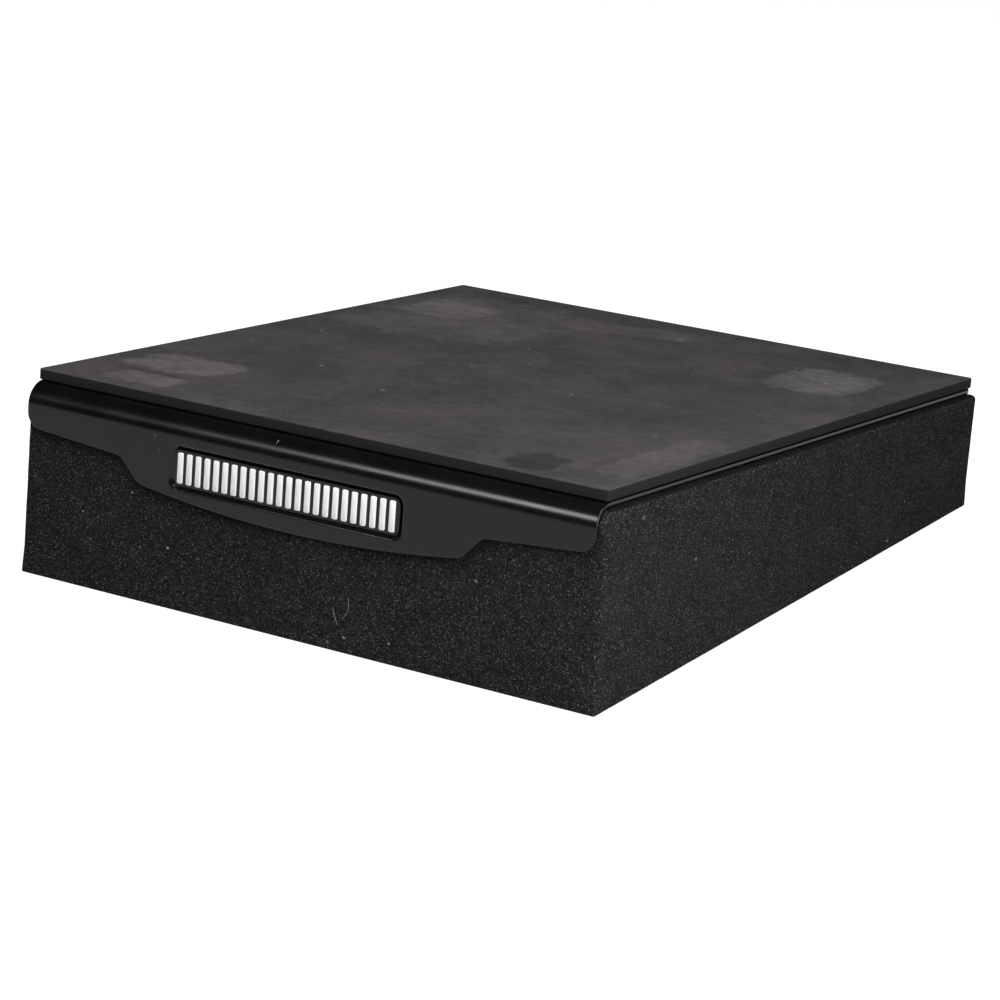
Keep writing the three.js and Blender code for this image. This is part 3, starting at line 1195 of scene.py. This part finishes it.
@dataclass
class Lint:
    """Loose lint on the foam's front: small flakes as (x, y, z, size) and two fine hairs as (x, z)."""

    flakes: tuple[tuple[float, float, float, float], ...] = (
        (-78.2, -3.95, -35.1, 0.55), (-102.1, -3.95, -47.0, 0.4), (-73.3, -3.95, -55.8, 0.35),
        (-60.0, -3.95, -53.6, 0.6), (24.1, -3.95, -71.4, 0.6), (44.3, -3.95, -69.4, 0.5),
        (-11.1, -3.5, -2.7, 0.45), (-11.3, -4.1, -3.4, 0.4))
    hairs: tuple[tuple[tuple[float, float], ...], ...] = (
        ((18.5, -60.7), (19.6, -64.0), (21.2, -67.1)),
        ((24.9, -55.5), (25.6, -58.8), (24.8, -61.8), (22.8, -64.4)))
    hair_place: float = -4.1
    hair_radius: float = 0.11
    finish: LintFinish = field(default_factory=LintFinish)

    def build_flakes(self) -> Surface:
        """Uneven flattened balls: radius r (1 + ripple) on latitude and longitude, thin along y."""
        lat = np.radians(np.linspace(-80, 80, 7))[:, None]
        lon = np.radians(np.linspace(0, 360, 12, endpoint=False))[None]
        height = np.sin(lat) * np.ones_like(lon)
        unit = np.stack([np.cos(lat) * np.cos(lon), np.cos(lat) * np.sin(lon), height], axis=-1)
        vertices, quads, fans = closed_rings(unit)
        ripple = 1 + 0.18 * soft_noise(vertices, 1.6, 21)[:, None]
        shape = vertices * ripple * np.array([1.0, 0.45, 0.8])
        flakes = np.array(self.flakes)
        return repeated((shape, quads, fans), flakes[:, 3], flakes[:, :3])

    def build_hair(self, points: tuple[tuple[float, float], ...]) -> Surface:
        """A thin tube round a smooth curve through the points: centre + r (side cos a + out sin a)."""
        knots = np.array(points)
        t = np.linspace(0, 1, 24)
        s = np.linspace(0, 1, len(knots))
        fit = [np.polyval(np.polyfit(s, knots[:, k], len(knots) - 1), t) for k in (0, 1)]
        path = np.stack([fit[0], np.full(len(t), self.hair_place), fit[1]], axis=1)
        along = np.gradient(path, axis=0)
        along /= np.linalg.norm(along, axis=1, keepdims=True)
        out = np.array([0.0, -1.0, 0.0])
        angle = np.radians(np.linspace(0, 360, 8, endpoint=False))[None, :, None]
        around = np.cross(out, along)[:, None] * np.cos(angle) + out * np.sin(angle)
        radius = self.hair_radius * np.sqrt(np.clip(1 - (2 * t - 1) ** 8, 0.05, 1))
        return closed_rings(path[:, None] + around * radius[:, None, None])

    def dress(self) -> bpy.types.Object:
        """Puts flakes and hairs in the scene as one piece."""
        parts = [self.build_flakes()] + [self.build_hair(points) for points in self.hairs]
        starts = np.cumsum([0] + [len(part[0]) for part in parts[:-1]])
        vertices = np.concatenate([part[0] for part in parts])
        faces = [np.concatenate([part[k] + start for part, start in zip(parts, starts)]) for k in (1, 2)]
        return make_piece("Lint", vertices, faces, self.finish.material())


# Studio


@dataclass(frozen=True)
class Lamp:
    """An area lamp that faces the pad.

    Azimuth is 0 towards +y and 90 towards +x, and elevation counts from the horizon, in degrees;
    lengths are in metres. A lamp that isn't glossy is not mirrored by glossy surfaces.
    """

    name: str
    azimuth: float
    elevation: float
    distance: float
    width: float
    height: float
    watts: float
    glossy: bool = True

    def build(self) -> None:
        """Puts the lamp in the scene."""
        data = bpy.data.lights.new(self.name, "AREA")
        data.shape = "RECTANGLE"
        data.size, data.size_y = self.width, self.height
        data.energy = self.watts
        a, e = np.radians(self.azimuth), np.radians(self.elevation)
        away = np.array([np.sin(a) * np.cos(e), np.cos(a) * np.cos(e), np.sin(e)])
        side = np.cross((0, 0, 1), away)
        side /= np.linalg.norm(side)
        lamp = stand(self.name, data, side, np.cross(away, side), away, away * self.distance + (0, 0, 0.04))
        lamp.visible_glossy = self.glossy


def stand(name: str, data: bpy.types.ID, right: np.ndarray, up: np.ndarray, back: np.ndarray,
          place: np.ndarray) -> bpy.types.Object:
    """Links a lamp or camera whose axes are given.

    Args:
        name: name of the object.
        data: its lamp or camera data.
        right: direction of its x axis.
        up: direction of its y axis.
        back: direction of its z axis, away from what it faces.
        place: its place in metres.

    Returns:
        The new object.
    """
    matrix = np.eye(4)
    matrix[:3] = np.stack([right, up, back, place], axis=1)
    item = bpy.data.objects.new(name, data)
    item.matrix_world = Matrix(matrix.tolist())
    bpy.context.scene.collection.objects.link(item)
    return item


@dataclass
class Studio:
    """Pale floor, soft lamps and the camera at the photograph's angle."""

    place: Triple = (0.706735, -1.122561, 0.443222)
    aim: Triple = (-0.001515, -0.007722, 0.017309)
    roll: float = 1.395
    lens: float = 121.905
    shift: tuple[float, float] = (-0.00382, -0.00062)
    floor_radius: float = 6.0
    floor_level: float = -0.0003
    lamps: tuple[Lamp, ...] = (
        Lamp("Over", 138.0, 68.0, 2.2, 1.2, 1.2, 33.0),
        Lamp("Right", 120.0, 18.0, 0.60, 0.25, 0.25, 2.3),
        Lamp("Front high", 180.0, 60.0, 1.5, 0.7, 0.7, 7.0, False),
        Lamp("Front left", 210.5, 34.0, 2.2, 0.34, 0.50, 8.5),
    )

    def camera(self) -> None:
        """Makes the camera: looks from place to aim, then rolls about its own axis."""
        ahead = np.array(self.aim) - self.place
        ahead /= np.linalg.norm(ahead)
        level = np.cross(ahead, (0, 0, 1))
        level /= np.linalg.norm(level)
        roll = np.radians(self.roll)
        right = np.cos(roll) * level + np.sin(roll) * np.cross(level, ahead)
        data = bpy.data.cameras.new("Camera")
        data.lens = self.lens
        data.sensor_width = 36.0
        data.shift_x, data.shift_y = self.shift
        place = np.array(self.place)
        bpy.context.scene.camera = stand("Camera", data, right, np.cross(right, ahead), -ahead, place)

    def floor(self) -> None:
        """A round pale floor: a disc of rings, r (cos a, sin a), just under the pad."""
        count, around = 12, 48
        radius = np.linspace(0.02, 1, count)[:, None] ** 2 * self.floor_radius
        angle = np.radians(np.linspace(0, 360, around, endpoint=False))[None]
        level = np.full((count, around), self.floor_level)
        rings = np.stack([radius * np.cos(angle), radius * np.sin(angle), level], axis=-1)
        here = np.arange(around)
        fan = np.stack([here, (here + 1) % around, np.full(around, count * around)], axis=1)
        quads = grid_quads(count, around, True)[:, ::-1]
        vertices = np.concatenate([rings.reshape(-1, 3), [[0, 0, self.floor_level]]])
        mesh = bpy.data.meshes.new("Floor")
        mesh.from_pydata(vertices.tolist(), [], quads.tolist() + fan.tolist())
        mesh.materials.append(self.floor_paint())
        floor = bpy.data.objects.new("Floor", mesh)
        bpy.context.scene.collection.objects.link(floor)

    def floor_paint(self) -> bpy.types.Material:
        """A dark floor for light that bounces, and a white one for the camera and, weaker, for gloss."""
        paint = Paint("Pale floor", (0.25, 0.25, 0.25), 0.9, 0.0)
        path = paint.tree.nodes.new("ShaderNodeLightPath").outputs
        gloss = paint.math("MULTIPLY", path["Is Glossy Ray"], 0.66)
        seen = paint.math("MAXIMUM", path["Is Camera Ray"], gloss)
        seen = paint.math("MAXIMUM", seen, path["Is Transmission Ray"])
        paint.feed("Emission Color", (1.0, 1.0, 1.0, 1.0))
        paint.feed("Emission Strength", paint.math("MULTIPLY", seen, 0.92))
        return paint.material

    def world(self) -> None:
        """An even soft world; the camera sees white, and gloss sees white low down and dark above."""
        world = bpy.data.worlds.new("Studio")
        bpy.context.scene.world = world
        world.use_nodes = True
        nodes = Nodes(world.node_tree)
        back = next(n for n in nodes.tree.nodes if n.type == "BACKGROUND")
        path = nodes.tree.nodes.new("ShaderNodeLightPath").outputs
        height = nodes.split("XYZ", nodes.tree.nodes.new("ShaderNodeTexCoord").outputs["Generated"])[2]
        gloss = nodes.math("MULTIPLY_ADD", nodes.rest(nodes.step(height, -0.02, 0.20)), 0.72, 0.012)
        value = nodes.math("MULTIPLY", path["Is Glossy Ray"], gloss)
        value = nodes.math("MULTIPLY_ADD", nodes.rest(path["Is Glossy Ray"]), 0.06, value)
        seen = nodes.math("MAXIMUM", path["Is Camera Ray"], path["Is Transmission Ray"])
        nodes.join(nodes.math("MAXIMUM", value, seen), back.inputs["Strength"])

    def build(self) -> None:
        """Makes the camera, lamps, floor and world."""
        self.camera()
        for lamp in self.lamps:
            lamp.build()
        self.floor()
        self.world()
        log.info("studio: camera, %d lamps, floor and world", len(self.lamps))


def main() -> None:
    """Builds the pad from the foot up, then the studio."""
    logging.basicConfig(level=logging.INFO, format="%(name)s %(message)s")
    bpy.context.scene.view_settings.view_transform = "Standard"
    build_groups()
    for assembly in (FoamBlock(), SteelSheet(), RubberMat(), Badge(), Lint()):
        assembly.dress()
    Studio().build()


if __name__ == "__main__":
    main()
